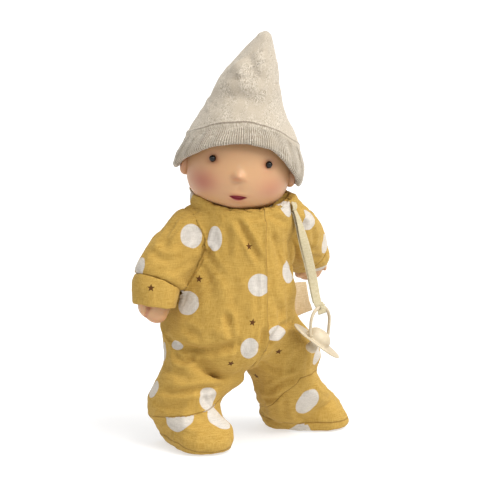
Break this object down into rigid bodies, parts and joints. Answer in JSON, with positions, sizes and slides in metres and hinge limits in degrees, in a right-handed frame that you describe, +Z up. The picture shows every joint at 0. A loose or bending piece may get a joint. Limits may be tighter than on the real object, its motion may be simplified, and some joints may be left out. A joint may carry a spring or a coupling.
{
  "type": "doll",
  "caption": "Standing soft-bodied baby doll in a printed footed romper with a pointed felt cap and a soother hung on a ribbon, with turning head and swinging limbs.",
  "frame": {"origin": "middle of the figure's standing box at floor level, under the stuffed body", "axes": "+Z up, the face looks towards -Y, the figure's own left is +X; the body is turned 18 degrees about Z towards its left"},
  "size_m": [0.172, 0.1422, 0.334],
  "materials": {
    "linen": "woven mustard linen with a printed pattern of white dots and small dark stars",
    "jersey": "stuffed flesh-coloured cotton jersey",
    "skin": "matte soft vinyl",
    "bead": "polished black bead",
    "felt": "heathered knitted wool, lightly felted",
    "steel": "pressed sheet",
    "cotton": "plain cotton tape",
    "satin": "ecru woven ribbon",
    "soother": "matte cream, moulded"
  },
  "bodies": {
    "torso": {"torso_body": "jersey", "collar": "linen", "romper_front_right": "linen", "romper_front_left": "linen", "romper_back_right": "linen", "romper_back_left": "linen", "press_stud_1": "steel", "press_stud_2": "steel", "press_stud_3": "steel", "placket": "linen", "side_tag": "cotton", "ribbon_tack": "satin"},
    "head": {"head": "skin", "right_eye": "bead", "left_eye": "bead"},
    "cap": {"cap_crown": "felt", "cap_brim": "felt"},
    "right_arm": {"right_arm": "jersey", "right_sleeve": "linen", "right_cuff": "linen", "right_hand": "skin"},
    "left_arm": {"left_arm": "jersey", "left_sleeve": "linen", "left_cuff": "linen", "left_hand": "skin"},
    "right_leg": {"right_leg": "jersey", "right_trouser": "linen", "right_foot_upper": "linen", "right_sole": "linen"},
    "left_leg": {"left_leg": "jersey", "left_trouser": "linen", "left_foot_upper": "linen", "left_sole": "linen"},
    "strap": {"ribbon": "satin", "ribbon_loop": "satin", "soother_ring": "soother"},
    "soother": {"soother_shield": "soother", "soother_dome": "soother", "soother_teat": "soother"}
  },
  "joints": [
    {"name": "head_turn", "type": "hinge", "parent": "torso", "child": "head", "pos_m": [-0.00321, -0.00706, 0.226], "axis": [0.1219, 0, 0.9925], "range_deg": [-35, 35]},
    {"name": "cap_pull", "type": "slide", "parent": "head", "child": "cap", "axis": [0.1219, 0, 0.9925], "range_m": [0, 0.08]},
    {"name": "right_arm_raise", "type": "hinge", "parent": "torso", "child": "right_arm", "pos_m": [-0.0376, -0.01973, 0.17], "axis": [-0.309, 0.9511, 0], "range_deg": [0, 65]},
    {"name": "left_arm_raise", "type": "hinge", "parent": "torso", "child": "left_arm", "pos_m": [0.04039, 0.00561, 0.17], "axis": [0.309, -0.9511, 0], "range_deg": [0, 65]},
    {"name": "right_leg_swing", "type": "hinge", "parent": "torso", "child": "right_leg", "pos_m": [-0.03094, -0.01757, 0.08], "axis": [-0.9511, -0.309, 0], "range_deg": [-20, 40]},
    {"name": "left_leg_swing", "type": "hinge", "parent": "torso", "child": "left_leg", "pos_m": [0.02802, 0.00159, 0.08], "axis": [-0.9511, -0.309, 0], "range_deg": [-20, 40]},
    {"name": "strap_swing", "type": "hinge", "parent": "torso", "child": "strap", "pos_m": [0.04139, -0.02226, 0.191], "axis": [-1, 0, 0], "range_deg": [0, 45]},
    {"name": "soother_turn", "type": "hinge", "parent": "strap", "child": "soother", "pos_m": [0.06073, -0.03325, 0.09136], "axis": [0.6273, 0.7684, -0.1271], "range_deg": [-40, 40]}
  ]
}
